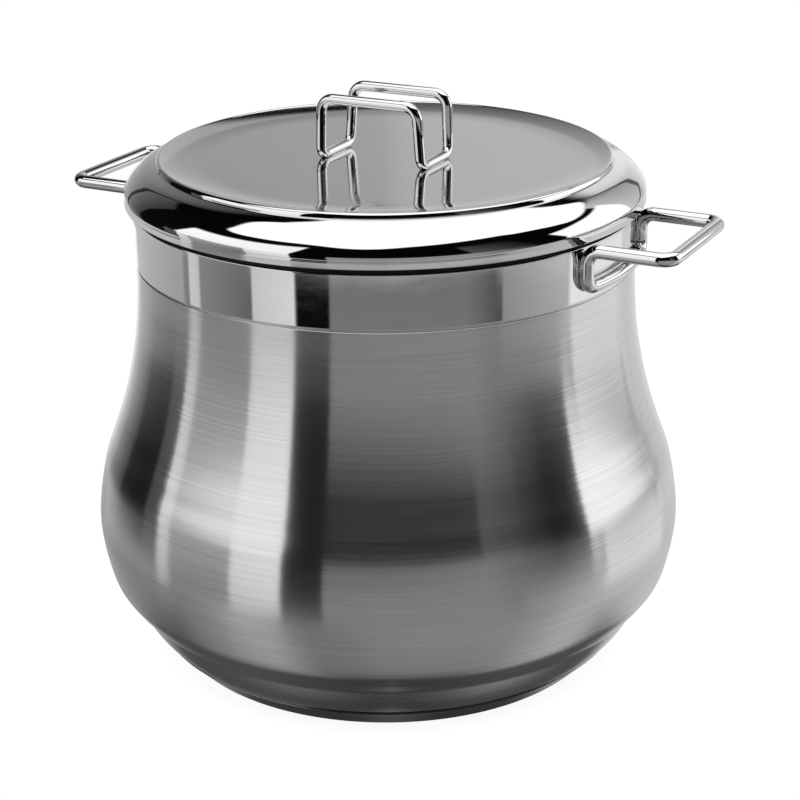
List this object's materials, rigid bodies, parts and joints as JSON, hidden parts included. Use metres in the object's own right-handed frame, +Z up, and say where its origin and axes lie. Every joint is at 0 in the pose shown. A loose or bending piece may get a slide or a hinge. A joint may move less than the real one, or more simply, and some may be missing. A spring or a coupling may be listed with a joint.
{
  "type": "soup kettle",
  "caption": "Bellied steel stockpot with a polished collar, heat-spreading base, fixed loop side handles and a lift-off lid with a double-arch handle, for serving hot soup.",
  "frame": {"origin": "centre of the flat standing face of the base", "axes": "+Z up along the pot's axis, +X through the right-hand side handle"},
  "size_m": [0.3202, 0.288, 0.2766],
  "materials": {
    "pot_steel": "belly brushed round its axis to a satin, collar above the groove polished to a mirror",
    "lid_steel": "mirror polished shoulder and bead, fine satin on the flat top",
    "rod_steel": "mirror polished round rod",
    "satin_steel": "satin",
    "base_steel": "brushed, with a turned standing face",
    "core_aluminium": "as rolled, enclosed"
  },
  "bodies": {
    "pot": {"kettle_body": "pot_steel", "base_core": "core_aluminium", "base_cap": "base_steel", "side_handle_right": "rod_steel", "side_handle_left": "rod_steel", "weld_right_leg_a": "satin_steel", "weld_right_leg_b": "satin_steel", "weld_right_rung": "satin_steel", "weld_left_leg_a": "satin_steel", "weld_left_leg_b": "satin_steel", "weld_left_rung": "satin_steel"},
    "lid": {"lid_shell": "lid_steel", "lid_seat_ring": "satin_steel", "lid_handle": "rod_steel", "weld_lid_right": "satin_steel", "weld_lid_left": "satin_steel"}
  },
  "joints": [
    {"name": "lid_lift", "type": "slide", "parent": "pot", "child": "lid", "axis": [0, 0, 1], "range_m": [0, 0.08]}
  ]
}
